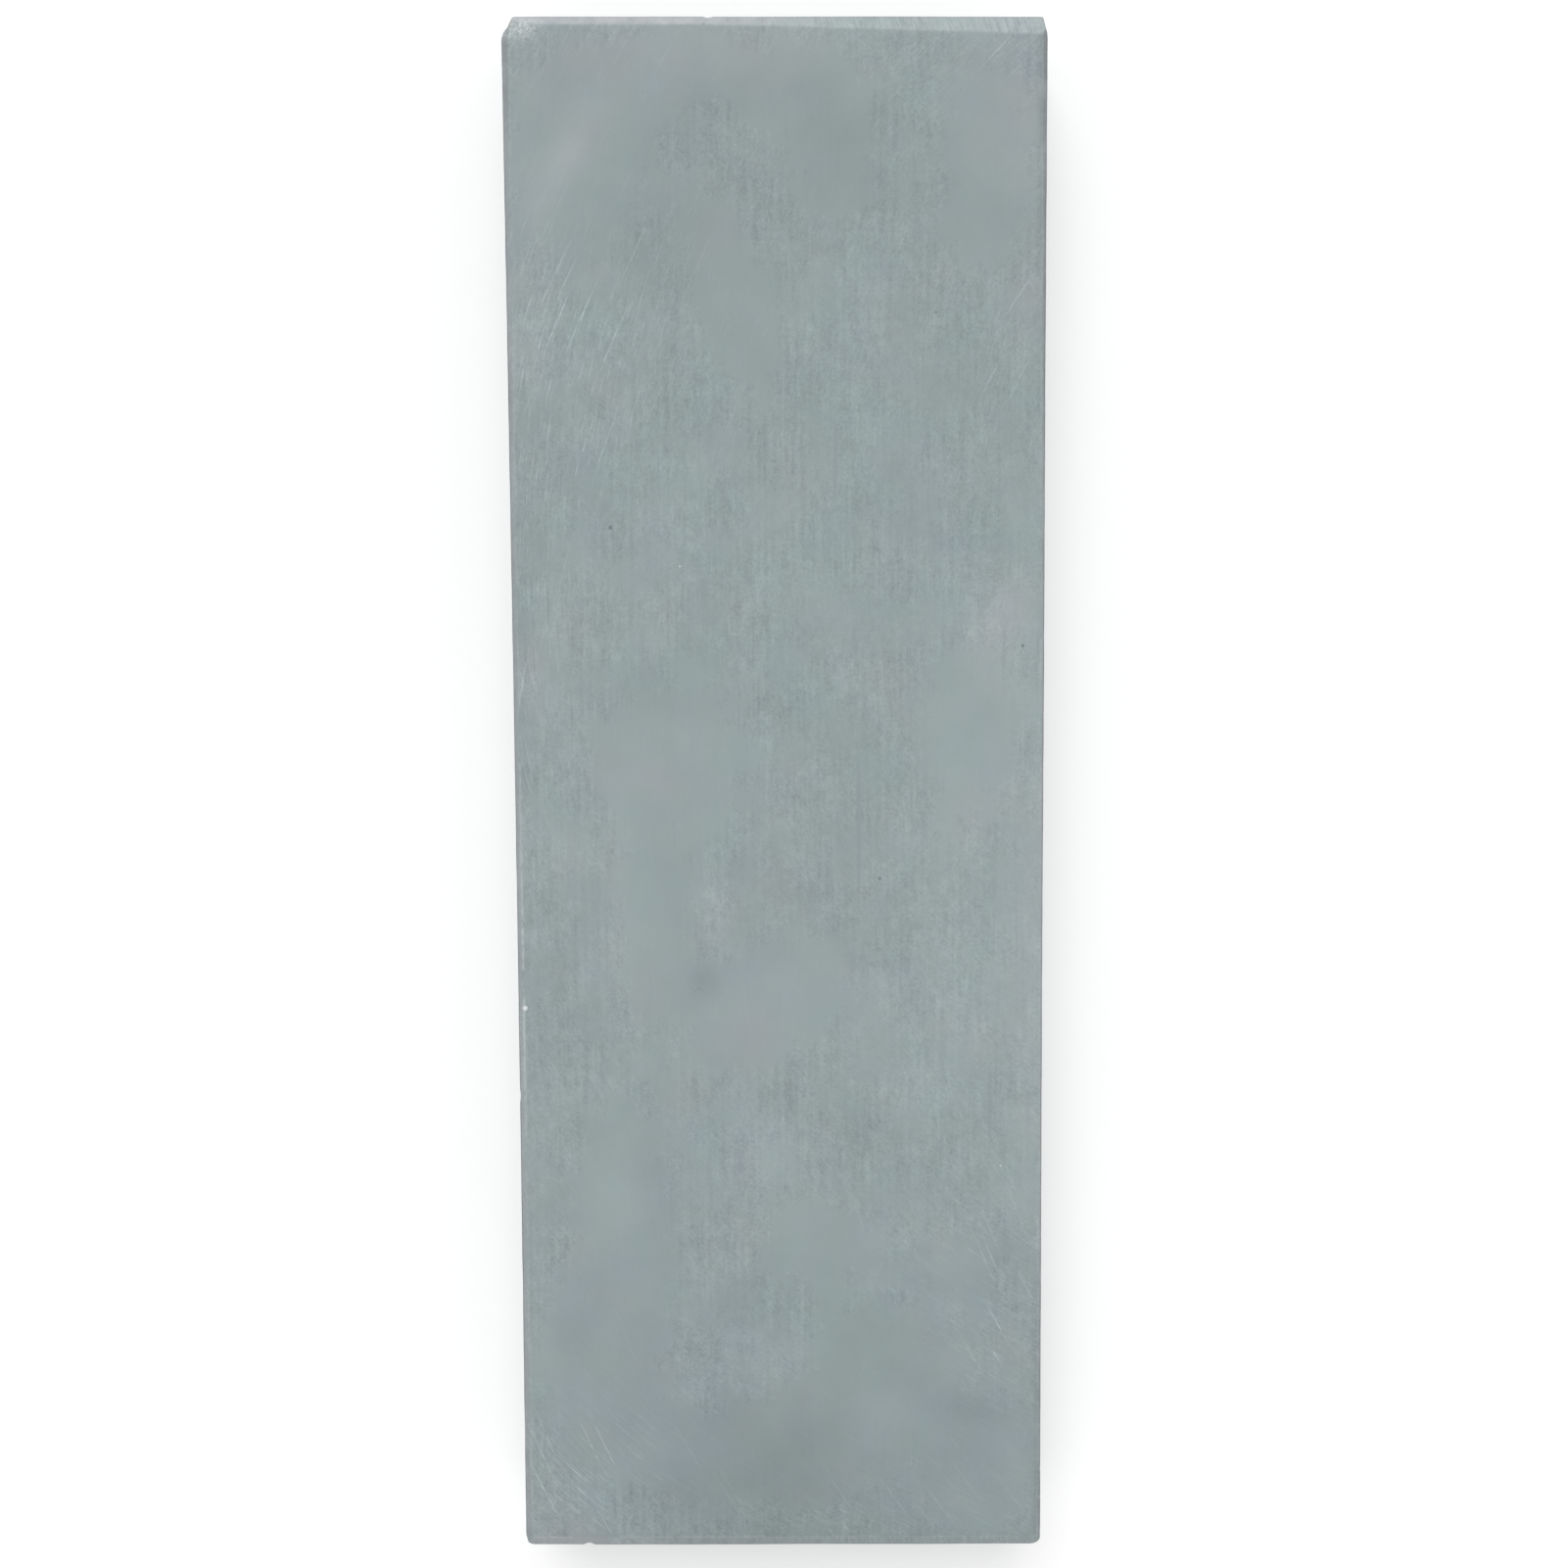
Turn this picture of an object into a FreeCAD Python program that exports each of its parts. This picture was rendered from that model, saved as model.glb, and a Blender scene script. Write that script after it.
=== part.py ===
"""Bench whetstone: one slab of fine-grained natural slate, sawn to size and lapped flat on top.

Millimetres. The origin is the middle of the underside, +X across the slab, +Y along its length
and +Z out of the honing face. The whole object is a single piece of stone, so it is one node.
The slab is square-cut. What shapes it further is handwork and wear: an eased arris on every
edge, a broad uneven bevel at the far end, one knocked-off corner, two corners rubbed hollow
and a few nibbled chips.
"""
import FreeCAD, Part
import math
import os
from collections import namedtuple

from FreeCAD import Placement, Rotation, Vector

# Slab
LENGTH = 200.0
WIDTH = 69.0
THICKNESS = 20.0
HALF_LENGTH = LENGTH / 2
HALF_WIDTH = WIDTH / 2
UNDERSIDE_BEVEL = 0.5           # eased arris round the underside

# Rounded upright corners, worn unequally: (which side along X, which side along Y, radius)
UPRIGHT_CORNERS = (
    (-1, -1, 1.2),
    (1, -1, 1.3),
    (1, 1, 0.6),
    (-1, 1, 0.9),
)

# Bevels ground on the edges of the honing face. A bevel belongs to a side of the slab: turn is
# where the side looks, in degrees from +Y towards -X, side and half_span are its distance from
# the middle and half its length. Someone who looks at the side from outside sees the bevel
# reach in from its arris by reach_right at one end and reach_left at the other, and it drops
# by fall for each millimetre of reach. The far end was ground twice, first all along and then
# harder towards its left, which faces +X.
Bevel = namedtuple("Bevel", "turn side half_span reach_right reach_left fall")
BEVELS = (
    Bevel(turn=0, side=HALF_LENGTH, half_span=HALF_WIDTH, reach_right=0.95, reach_left=1.30, fall=0.58),
    Bevel(turn=0, side=HALF_LENGTH, half_span=HALF_WIDTH, reach_right=0.06, reach_left=2.35, fall=0.58),
    Bevel(turn=90, side=HALF_WIDTH, half_span=HALF_LENGTH, reach_right=0.90, reach_left=0.90, fall=0.70),
    Bevel(turn=180, side=HALF_LENGTH, half_span=HALF_WIDTH, reach_right=1.40, reach_left=1.40, fall=0.57),
    Bevel(turn=270, side=HALF_WIDTH, half_span=HALF_LENGTH, reach_right=0.60, reach_left=0.40, fall=0.85),
)

# Knocked-off corner of the honing face, at the far left: how far the break reaches from the
# corner along the end, along the side and down
BREAK = Vector(1.6, 3.0, 8.0)

# Hollows rubbed into two corners of the honing face, far right and near left, and nibbled chips
# on its arrises: (centre of the round bite, its radius)
HOLLOWS = (
    (Vector(HALF_WIDTH + 8.25, HALF_LENGTH + 0.3, THICKNESS - 1.0), 8.7),
    (Vector(-HALF_WIDTH - 2.65, -HALF_LENGTH, THICKNESS - 1.0), 3.0),
)
CHIPS = (
    (Vector(-8.45, HALF_LENGTH + 0.22, THICKNESS - 0.9), 0.55),
    (Vector(-8.45, HALF_LENGTH + 0.22, THICKNESS - 1.4), 0.55),
    (Vector(-26.0, -HALF_LENGTH - 0.12, THICKNESS - 1.0), 0.6),
    (Vector(-HALF_WIDTH - 1.1, -38.5, THICKNESS - 0.4), 1.5),
)

MIDDLE = Vector(0, 0, THICKNESS / 2)
UP = Vector(0, 0, 1)
CUTTER = 2 * LENGTH             # size of the blocks that cut the bevels, well past the slab
NEAR = 0.01                     # points closer than this are one place


def stands_at(edge, x, y):
    """True for an edge that runs straight up the slab at one of its corners."""
    first, last = (vertex.Point for vertex in edge.Vertexes)
    near = all(math.hypot(point.x - x, point.y - y) < NEAR for point in (first, last))
    return near and abs(first.z - last.z) > THICKNESS / 2


def in_underside(edge):
    """True for an edge that lies in the underside."""
    return edge.BoundBox.ZMax < UNDERSIDE_BEVEL / 2


def eased_slab():
    """The slab with rounded upright corners and an eased underside."""
    slab = Part.makeBox(WIDTH, LENGTH, THICKNESS, Vector(-HALF_WIDTH, -HALF_LENGTH, 0))
    for side_x, side_y, radius in UPRIGHT_CORNERS:
        x, y = side_x * HALF_WIDTH, side_y * HALF_LENGTH
        slab = slab.makeFillet(radius, [e for e in slab.Edges if stands_at(e, x, y)])
    return slab.makeChamfer(UNDERSIDE_BEVEL, [e for e in slab.Edges if in_underside(e)])


def block_beyond(a, b, c):
    """A large block standing on the plane through three points, on the side away from the slab."""
    outward = (b - a).cross(c - a).normalize()
    if outward.dot(a - MIDDLE) < 0:
        outward = outward * -1
    block = Part.makeBox(CUTTER, CUTTER, CUTTER, Vector(-CUTTER / 2, -CUTTER / 2, 0))
    block.Placement = Placement(a, Rotation(UP, outward))
    return block


def bevel_cutter(bevel):
    """The space beyond one bevel's plane."""
    right = Vector(-bevel.half_span, bevel.side - bevel.reach_right, THICKNESS)
    left = Vector(bevel.half_span, bevel.side - bevel.reach_left, THICKNESS)
    below = Vector(bevel.half_span, bevel.side, THICKNESS - bevel.fall * bevel.reach_left)
    turn = Rotation(UP, bevel.turn)
    return block_beyond(*(turn.multVec(point) for point in (right, left, below)))


def break_cutter():
    """The space beyond the break at the far left corner."""
    corner = Vector(-HALF_WIDTH, HALF_LENGTH, THICKNESS)
    return block_beyond(
        corner + Vector(BREAK.x, 0, 0),
        corner - Vector(0, BREAK.y, 0),
        corner - Vector(0, 0, BREAK.z),
    )


def whetstone():
    """The finished slab."""
    bevels = [bevel_cutter(bevel) for bevel in BEVELS]
    bites = [Part.makeSphere(radius, centre) for centre, radius in (*HOLLOWS, *CHIPS)]
    return eased_slab().cut([*bevels, break_cutter(), *bites])


def main():
    os.makedirs("parts", exist_ok=True)
    stone = whetstone()
    if len(stone.Solids) != 1 or not stone.isValid():
        raise RuntimeError("the whetstone is not one valid solid")
    stone.Solids[0].exportStep("parts/stone.step")


main()
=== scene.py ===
"""A bench whetstone of natural grey-green slate, lying on a pale floor under soft studio light.

The stone is one closed mesh. Its shape is a field: planes for the faces and bevels, met in
worn arrises, with a knocked-off corner, two corners rubbed hollow and nibbled chips taken out.
The mesh starts as rings round the slab that are close together where the arrises run. Its
points are then moved onto the field, and evened out where breaks and corners crowd them.
Lengths in the shape code are millimetres; Blender gets metres.
"""
import math
from collections import namedtuple

import bpy
import numpy as np
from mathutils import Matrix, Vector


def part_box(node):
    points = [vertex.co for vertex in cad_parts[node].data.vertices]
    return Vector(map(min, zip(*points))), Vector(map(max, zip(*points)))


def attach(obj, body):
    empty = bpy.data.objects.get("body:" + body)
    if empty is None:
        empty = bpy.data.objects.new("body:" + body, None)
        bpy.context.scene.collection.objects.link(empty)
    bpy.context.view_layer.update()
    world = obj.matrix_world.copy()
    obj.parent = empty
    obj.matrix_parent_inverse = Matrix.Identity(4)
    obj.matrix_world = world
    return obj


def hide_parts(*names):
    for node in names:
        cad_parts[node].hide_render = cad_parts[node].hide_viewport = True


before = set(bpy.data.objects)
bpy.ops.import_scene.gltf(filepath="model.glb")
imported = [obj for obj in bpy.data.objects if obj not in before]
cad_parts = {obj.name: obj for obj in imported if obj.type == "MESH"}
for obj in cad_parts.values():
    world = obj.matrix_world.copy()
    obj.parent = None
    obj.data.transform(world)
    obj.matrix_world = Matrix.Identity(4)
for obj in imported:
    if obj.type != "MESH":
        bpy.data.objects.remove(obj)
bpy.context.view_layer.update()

MM = 0.001
LOW, HIGH = (np.array(corner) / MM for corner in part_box("stone"))
HALF_X, HALF_Y = (HIGH - LOW)[:2] / 2
THICKNESS = HIGH[2]

# Bevels round the honing face, side by side in the order near, right, far, left. A bevel reaches
# in from its side by reach at each end of the side, taken anticlockwise, and drops by fall for
# each millimetre of reach.
Bevel = namedtuple("Bevel", "reach_first reach_last fall")
NEAR = Bevel(1.40, 1.40, 0.57)
RIGHT = Bevel(0.40, 0.60, 0.85)
FAR = Bevel(1.30, 0.95, 0.58)
FAR_AGAIN = Bevel(2.35, 0.06, 0.58)    # the far end was ground twice, harder towards the right
FAR_BLEND = 0.3                        # the far end's two reaches run into each other over this much
LEFT = Bevel(0.90, 0.90, 0.70)
UNDER = 0.5                            # bevel round the underside
UPRIGHT_RADII = (1.2, 1.3, 0.6, 0.9)   # corners near left, near right, far right, far left

# Knocked-off corner at the far left: how far the break reaches along the end, the side and down
BREAK = np.array((1.6, 3.0, 8.0))

# Chips on the arrises, and two corners rubbed hollow: place of the round bite, and its radius
CHIPS = (
    ((-HALF_X + 0.5, HALF_Y - 1.0, THICKNESS + 1.0), 1.9),
    ((HALF_X + 8.25, HALF_Y + 0.3, THICKNESS - 1.0), 8.7),
    ((-HALF_X - 2.65, -HALF_Y, THICKNESS - 1.0), 3.0),
    ((-8.45, HALF_Y + 0.22, THICKNESS - 0.9), 0.55),
    ((-8.45, HALF_Y + 0.22, THICKNESS - 1.4), 0.55),
    ((-9.1, HALF_Y - 0.6, THICKNESS + 0.25), 0.45),
    ((-26.0, -HALF_Y - 0.12, THICKNESS - 1.0), 0.6),
    ((-HALF_X - 1.1, -38.5, THICKNESS - 0.4), 1.5),
)
CLEAR_OF_CHIPS = -9.0                  # depth given to points that are nowhere near a chip

# Small chance bites along all the arrises
NIBBLES = 70
NIBBLE_SEED = 11
NIBBLE_ODDS = (0.17, 0.33, 0.17, 0.33) # of lying on the near, right, far and left side
NIBBLE_RADII = (0.5, 1.4)
NIBBLE_DEPTHS = (0.05, 0.16)
NIBBLE_DROP = 0.7                      # how far down the upper bevel, as a share of its drop
NIBBLE_RISE = 0.4                      # how far up the lower bevel, as a share of its height
SLANT = 0.7                            # sideways and upright part of a step that slants at 45 degrees

OUT_OF_SQUARE = -0.0033                # the ends are cut a fifth of a degree out of square
SIDE_HOLLOWS = (0.20, 0.08)            # how hollow the left and right side are, half-way along

# Unevenness of the surfaces, as layers of waves: height, wavelength, seed
WALL_RELIEF = ((0.03, 45, 3), (0.008, 3.5, 4))
BEVEL_RELIEF = ((0.015, 12, 5),)
BREAK_RELIEF = ((0.10, 2.2, 6), (0.04, 0.9, 7))
CHIP_RELIEF = ((0.05, 0.8, 8),)

# Arrises are worn round over a width that changes from place to place
WEAR = 0.17
WEAR_CHANGE = 0.10
WEAR_WAVES = (7, 9)                    # wavelength and seed
FRESH_WEAR = 0.06                      # the same width round breaks and chips

# Mesh: cells across and along the faces, both divisible by three, and rings along the arrises
CELLS_X = 75
CELLS_Y = 219
SPLIT = 3                              # fine cells beside one coarse cell
INNER_OFFSETS = (0.55, 0.30, 0.14)     # rings inside the inner arris of the bevels
BEVEL_SHARES = (0.0, 0.10, 0.22, 0.40, 0.60, 0.78, 0.90, 1.0)
OUTER_OFFSETS = (0.08, 0.18, 0.35, 0.65)
WALL_RINGS = 18
UNDER_SHARES = (0.0, 0.33, 0.67, 1.0)
UNDER_OFFSETS = (0.15, 0.40, 0.85)
CAP_MARGIN = 0.9                       # from the inner arris to the outermost ring of the face
COLLAR_MARGIN = 0.3                    # from the last of UNDER_OFFSETS to a coarser ring
GRID_MARGIN = 2.5                      # and to the grid that fills the underside

# Where settled points crowd: each pair says where that begins and where it is full
CROWDED_BREAK = (-0.6, -0.2)           # field of the break and the chips
CROWDED_CORNER = (3.0, 2.0)            # distance from an upright corner
CROWDED_DEPTH = 3                      # and no further than this below the honing face
LOOSENED_SHARE = 0.5                   # of the way to the middle of their neighbours, each round


# ---------------------------------------------------------------- shape of the stone

def waves(points, wavelength, seed, count=14):
    """Smooth chance waves in space, mostly within -1 and 1."""
    chance = np.random.default_rng(seed)
    directions = chance.normal(size=(count, 3))
    directions /= np.linalg.norm(directions, axis=1, keepdims=True)
    lengths = wavelength * chance.uniform(0.7, 1.6, count)
    phases = chance.uniform(0, 2 * math.pi, count)
    angles = 2 * math.pi * points @ (directions / lengths[:, None]).T + phases
    return np.sin(angles).mean(axis=1) * math.sqrt(count) / 1.4


def roughened(field, points, layers):
    """A field with layers of waves added to it."""
    for height, wavelength, seed in layers:
        field = field + height * waves(points, wavelength, seed)
    return field


def smooth_step(low, high, value):
    """0 below low, 1 above high, and smooth between. With low above high, it falls."""
    share = np.clip((value - low) / (high - low), 0, 1)
    return share * share * (3 - 2 * share)


def smooth_max(a, b, width):
    """The larger of two fields, blended where they differ by less than width."""
    overlap = np.clip(width - np.abs(a - b), 0, None) / width
    return np.maximum(a, b) + overlap * overlap * width / 4


def reach(bevel, share):
    """How far a bevel reaches in, at a share of the way along its side."""
    return bevel.reach_first + (bevel.reach_last - bevel.reach_first) * share


def far_reach(share):
    """Reach of the far end's double bevel."""
    return smooth_max(reach(FAR, share), reach(FAR_AGAIN, share), FAR_BLEND)


def side_reaches(share):
    """Reach of the bevels of the near, right, far and left side, at a share along each."""
    return reach(NEAR, share), reach(RIGHT, share), far_reach(share), reach(LEFT, share)


def outline_field(points):
    """Distance outside the slab's upright walls, with rounded corners and a slightly wavy saw cut."""
    x, y = points[:, 0], points[:, 1]
    near_left, near_right, far_right, far_left = UPRIGHT_RADII
    radius = np.where(y < 0, np.where(x < 0, near_left, near_right), np.where(x < 0, far_left, far_right))
    hollow = np.where(x < 0, *SIDE_HOLLOWS) * (1 - (y / HALF_Y) ** 2)
    over_x = np.abs(x) - HALF_X + radius + hollow
    over_y = np.abs(y) - HALF_Y + radius
    outside = np.hypot(np.clip(over_x, 0, None), np.clip(over_y, 0, None))
    flat = outside + np.minimum(np.maximum(over_x, over_y), 0) - radius
    return roughened(flat, points, WALL_RELIEF)


def bevel_fields(points):
    """Height above each of the four bevels round the honing face."""
    x, y, z = points.T
    rise = z - THICKNESS
    along_x = (x / HALF_X + 1) / 2
    along_y = (y / HALF_Y + 1) / 2
    uneven = roughened(0, points, BEVEL_RELIEF)
    sides = (
        (NEAR, -y - HALF_Y, reach(NEAR, along_x)),
        (RIGHT, x - HALF_X, reach(RIGHT, along_y)),
        (FAR, y - HALF_Y, far_reach(1 - along_x)),
        (LEFT, -x - HALF_X, reach(LEFT, 1 - along_y)),
    )
    return [
        (bevel.fall * (outward + inward + uneven) + rise) / math.hypot(1, bevel.fall)
        for bevel, outward, inward in sides
    ]


def break_field(points):
    """Height above the rough break at the far left corner."""
    corner = np.array((-HALF_X, HALF_Y, THICKNESS))
    normal = np.array((-1, 1, 1)) / BREAK
    size = np.linalg.norm(normal)
    flat = ((points - corner) @ normal + 1) / size
    return roughened(flat, points, BREAK_RELIEF)


def nibbles():
    """Small chance bites along the arrises: (place, radius)."""
    chance = np.random.default_rng(NIBBLE_SEED)
    bites = []
    for _ in range(NIBBLES):
        along = chance.uniform(-1, 1)
        side = chance.choice(4, p=NIBBLE_ODDS)
        bevel = (NEAR, RIGHT, FAR, LEFT)[side]
        radius = chance.uniform(*NIBBLE_RADII)
        stand_off = radius - chance.uniform(*NIBBLE_DEPTHS)
        low = chance.random() < 0.5
        upper = THICKNESS - NIBBLE_DROP * bevel.fall * bevel.reach_last
        height = NIBBLE_RISE * UNDER if low else upper
        lean = -SLANT if low else SLANT
        span, side_at = (HALF_X, HALF_Y) if side in (0, 2) else (HALF_Y, HALF_X)
        outward = side_at + SLANT * stand_off
        flat = {
            0: (along * span, -outward),
            1: (outward, along * span),
            2: (along * span, outward),
            3: (-outward, along * span),
        }[int(side)]
        bites.append(((*flat, height + lean * stand_off), radius))
    return bites


ALL_CHIPS = [*CHIPS, *nibbles()]


def chip_field(points, chips):
    """How deep points lie inside the round bite that holds them deepest."""
    deepest = np.full(len(points), CLEAR_OF_CHIPS)
    for centre, radius in chips:
        centre = np.array(centre)
        close = np.flatnonzero(np.abs(points[:, 1] - centre[1]) < 2 * radius)
        close = close[np.abs(points[close] - centre).max(axis=1) < 2 * radius]
        edge = roughened(radius, points[close], CHIP_RELIEF)
        depth = edge - np.linalg.norm(points[close] - centre, axis=1)
        deepest[close] = np.maximum(deepest[close], depth)
    return deepest


def surfaces(points):
    """The fields that bound the stone, each by its name, negative inside."""
    wall = outline_field(points)
    z = points[:, 2]
    return {
        "face": z - THICKNESS,
        "bevels": bevel_fields(points),
        "wall": wall,
        "under_bevel": (wall + UNDER - z) / math.sqrt(2),
        "underside": -z,
        "break": break_field(points),
        "chips": chip_field(points, ALL_CHIPS),
    }


def stone_field(points):
    """The whole stone, negative inside, with its arrises worn round by an uneven width."""
    parts = surfaces(points)
    wear = WEAR + WEAR_CHANGE * np.clip(waves(points, *WEAR_WAVES), -1, 1)
    whole = parts["face"]
    for bevel in parts["bevels"]:
        whole = smooth_max(whole, bevel, wear)
    for name in ("wall", "under_bevel", "underside"):
        whole = smooth_max(whole, parts[name], wear)
    for name in ("break", "chips"):
        whole = smooth_max(whole, parts[name], FRESH_WEAR)
    return whole


def settle(points, steps=5, probe=0.005, most=0.4, flattest=0.2):
    """Moves points onto the surface of the stone, along the slope of its field."""
    for _ in range(steps):
        value = stone_field(points)
        rises = [stone_field(points + probe * axis) - value for axis in np.eye(3)]
        slope = np.stack(rises, axis=1) / probe
        size = np.maximum((slope ** 2).sum(axis=1), flattest)
        points = points - slope * np.clip(value / size, -most, most)[:, None]
    return points


def crowded(points):
    """1 at the break, the chips and the upper corners, where settled points crowd, 0 elsewhere."""
    parts = surfaces(points)
    x, y, z = np.abs(points).T
    bitten = smooth_step(*CROWDED_BREAK, np.maximum(parts["break"], parts["chips"]))
    in_corner = smooth_step(*CROWDED_CORNER, np.hypot(HALF_X - x, HALF_Y - y))
    return np.maximum(bitten, in_corner * (z > THICKNESS - CROWDED_DEPTH))


def loosen(points, quads, rounds=12):
    """Evens out the crowded spots of the mesh, and keeps them on the surface of the stone."""
    starts, ends = np.vstack([quads[:, (side, (side + 1) % 4)] for side in range(4)]).T
    neighbours = np.bincount(starts, minlength=len(points))
    share = LOOSENED_SHARE * crowded(points)
    spots = np.flatnonzero(share)
    for _ in range(rounds):
        totals = [np.bincount(starts, points[ends, axis], len(points)) for axis in range(3)]
        offset = np.stack(totals, axis=1) / neighbours[:, None] - points
        points[spots] = settle(points[spots] + share[spots, None] * offset[spots], steps=2)
    return points


# ---------------------------------------------------------------- mesh of the stone

class Skin:
    """Collects points and the quads between them."""

    def __init__(self):
        self.points, self.quads, self.count = [], [], 0

    def add(self, points):
        """Adds points and returns their numbers."""
        self.points.append(points)
        self.count += len(points)
        return np.arange(self.count - len(points), self.count)

    def quad(self, *corners):
        """Adds quads, each corner an array of point numbers."""
        self.quads.append(np.stack(corners, axis=1))

    def band(self, inner, outer):
        """Joins two rings that have as many points, the inner one nearer the middle of the top."""
        self.quad(inner, outer, np.roll(outer, -1), np.roll(inner, -1))

    def ring_points(self, ring):
        """Places of a ring's points."""
        return np.concatenate(self.points)[ring]

    def widen(self, coarse, fine):
        """Joins a coarse ring to a ring outside it that has SPLIT times as many points."""
        first, second = self.between(coarse, fine)
        start, end = coarse, np.roll(coarse, -1)
        self.quad(start, fine[::SPLIT], fine[1::SPLIT], first)
        self.quad(first, fine[1::SPLIT], fine[2::SPLIT], second)
        self.quad(second, fine[2::SPLIT], np.roll(fine, -1)[2::SPLIT], end)
        self.quad(start, first, second, end)

    def narrow(self, fine, coarse):
        """Joins a fine ring to a coarse ring outside it."""
        first, second = self.between(coarse, fine)
        start, end = coarse, np.roll(coarse, -1)
        self.quad(fine[::SPLIT], start, first, fine[1::SPLIT])
        self.quad(fine[1::SPLIT], first, second, fine[2::SPLIT])
        self.quad(fine[2::SPLIT], second, end, np.roll(fine, -1)[2::SPLIT])
        self.quad(first, start, end, second)

    def between(self, coarse, fine):
        """Two new points for each coarse cell, half-way from it to the fine ring."""
        start = self.ring_points(coarse)
        end = np.roll(start, -1, axis=0)
        edge = self.ring_points(fine)
        first = (start + (end - start) / SPLIT + edge[1::SPLIT]) / 2
        second = (start + 2 * (end - start) / SPLIT + edge[2::SPLIT]) / 2
        return self.add(first), self.add(second)


def ring(insets, depths, cells_x, cells_y):
    """Points round the slab, anticlockwise from the near left corner.

    insets and depths give, for shares along the near, right, far and left side, how far the
    ring lies inside the side and below the honing face.
    """
    counts = (cells_x, cells_y, cells_x, cells_y)
    ends = [inset(np.array((0.0, 1.0))) for inset in insets]
    near, right, far, left = ends
    corners = np.array((
        (-HALF_X + left[1], -HALF_Y + near[0]),
        (HALF_X - right[0], -HALF_Y + near[1]),
        (HALF_X - right[1], HALF_Y - far[0]),
        (-HALF_X + left[0], HALF_Y - far[1]),
    ))
    sides = []
    for side, count in enumerate(counts):
        share = np.arange(count) / count
        start, end = corners[side], corners[(side + 1) % 4]
        flat = start + (end - start) * share[:, None]
        across = 1 if side in (0, 2) else 0
        outward = -1 if side in (0, 3) else 1
        half = (HALF_X, HALF_Y)[across]
        flat[:, across] = outward * (half - insets[side](share))
        depth = np.broadcast_to(depths[side](share), share.shape)
        sides.append(np.column_stack((flat, THICKNESS - depth)))
    return np.concatenate(sides)


def arris_ring(reach_share, extra_inset, drop_share, extra_depth, split=SPLIT):
    """A ring that keeps to the bevels of the honing face, set by shares of their reach and drop."""
    falls = [bevel.fall for bevel in (NEAR, RIGHT, FAR, LEFT)]

    def inset(side):
        return lambda share: reach_share * side_reaches(share)[side] + extra_inset

    def depth(side):
        return lambda share: drop_share * falls[side] * side_reaches(share)[side] + extra_depth

    insets = [inset(side) for side in range(4)]
    depths = [depth(side) for side in range(4)]
    return ring(insets, depths, split * CELLS_X, split * CELLS_Y)


def level_ring(inset, height, cells_x, cells_y):
    """A ring at one height, the same distance inside every side."""
    insets = [lambda share: np.full_like(share, inset)] * 4
    depths = [lambda share: THICKNESS - height] * 4
    return ring(insets, depths, cells_x, cells_y)


def cap(skin, border, cells_x, cells_y, upward):
    """Fills a ring of border points with a grid, and returns the ring's point numbers."""
    near, right, far, left = np.split(border, np.cumsum((cells_x, cells_y, cells_x)))
    near = np.vstack((near, right[:1]))
    right = np.vstack((right, far[:1]))
    far = np.vstack((far, left[:1]))[::-1]
    left = np.vstack((left, border[:1]))[::-1]
    u = np.linspace(0, 1, cells_x + 1)[None, :, None]
    v = np.linspace(0, 1, cells_y + 1)[:, None, None]
    grid = (1 - v) * near[None] + v * far[None] + (1 - u) * left[:, None] + u * right[:, None]
    grid = grid - (1 - u) * (1 - v) * near[0] - u * (1 - v) * near[-1]
    grid = grid - (1 - u) * v * far[0] - u * v * far[-1]
    number = skin.add(grid.reshape(-1, 3)).reshape(cells_y + 1, cells_x + 1)
    cells = [number[:-1, :-1], number[:-1, 1:], number[1:, 1:], number[1:, :-1]]
    skin.quad(*(cell.ravel() for cell in (cells if upward else cells[::-1])))
    return np.concatenate((number[0, :-1], number[:-1, -1], number[-1, :0:-1], number[:0:-1, 0]))


def top_rings():
    """Fine rings from just inside the bevels of the honing face to just below them."""
    rings = [arris_ring(1, offset, 0, 0) for offset in INNER_OFFSETS]
    rings += [arris_ring(1 - share, 0, share, 0) for share in BEVEL_SHARES]
    return rings + [arris_ring(0, 0, 1, offset) for offset in OUTER_OFFSETS]


def bottom_rings():
    """Fine rings from just above the bevel of the underside to just inside it."""
    fine = (SPLIT * CELLS_X, SPLIT * CELLS_Y)
    rings = [level_ring(0, UNDER + offset, *fine) for offset in UNDER_OFFSETS[::-1]]
    rings += [level_ring(share * UNDER, (1 - share) * UNDER, *fine) for share in UNDER_SHARES]
    return rings + [level_ring(UNDER + offset, 0, *fine) for offset in UNDER_OFFSETS[:-1]]


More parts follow.
